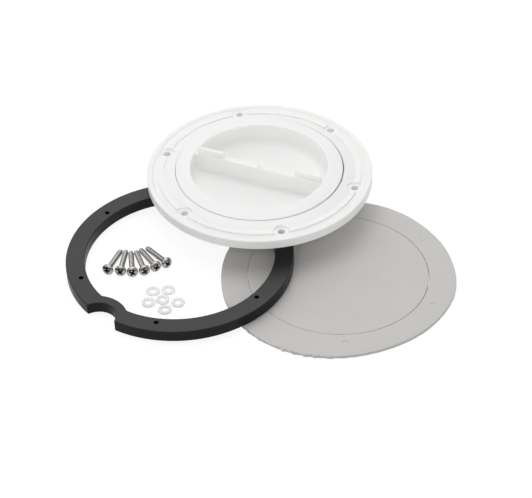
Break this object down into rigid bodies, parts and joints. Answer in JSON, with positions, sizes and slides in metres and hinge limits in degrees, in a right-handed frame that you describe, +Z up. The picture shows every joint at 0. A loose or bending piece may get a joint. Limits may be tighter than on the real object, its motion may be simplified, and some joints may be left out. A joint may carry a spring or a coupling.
{
  "type": "inspection cover",
  "caption": "Round screw-in inspection cover for a deck: flange ring and recessed lid with a grip bar, laid out with its backing ring, foam gasket, screws and washers.",
  "frame": {"origin": "centre of the laid-out kit's box, on the floor that the kit lies on", "axes": "+Z is up, away from the floor and out of the cover's face; +X runs from the backing ring to the gasket; +Y runs from the gasket to the cover, away from the camera"},
  "size_m": [0.3338, 0.3016, 0.0456],
  "materials": {
    "white_moulding": "satin",
    "seal_rubber": "matte",
    "black_moulding": "matte",
    "grey_foam": "matte",
    "stainless": "polished",
    "natural_nylon": "satin"
  },
  "bodies": {
    "laid_out_kit": {"deck_ring": "white_moulding", "backing_ring": "black_moulding", "gasket_ring": "grey_foam", "gasket_centre": "grey_foam", "screws": "stainless", "washers": "natural_nylon"},
    "seal_carrier": {"lid_seal": "seal_rubber"},
    "lid": {"lid": "white_moulding"}
  },
  "joints": [
    {"name": "lid_rise", "type": "slide", "parent": "laid_out_kit", "child": "seal_carrier", "axis": [-0.0152, -0.0024, 0.9999], "range_m": [0, 0.006]},
    {"name": "lid_turn", "type": "hinge", "parent": "seal_carrier", "child": "lid", "pos_m": [-0.0011, 0.0509, 0.03699], "axis": [-0.0152, -0.0024, 0.9999], "range_deg": [0, 720]}
  ],
  "couplings": [
    {"joint": "lid_rise", "follows": "lid_turn", "m_per_rad": 0.00047746}
  ]
}
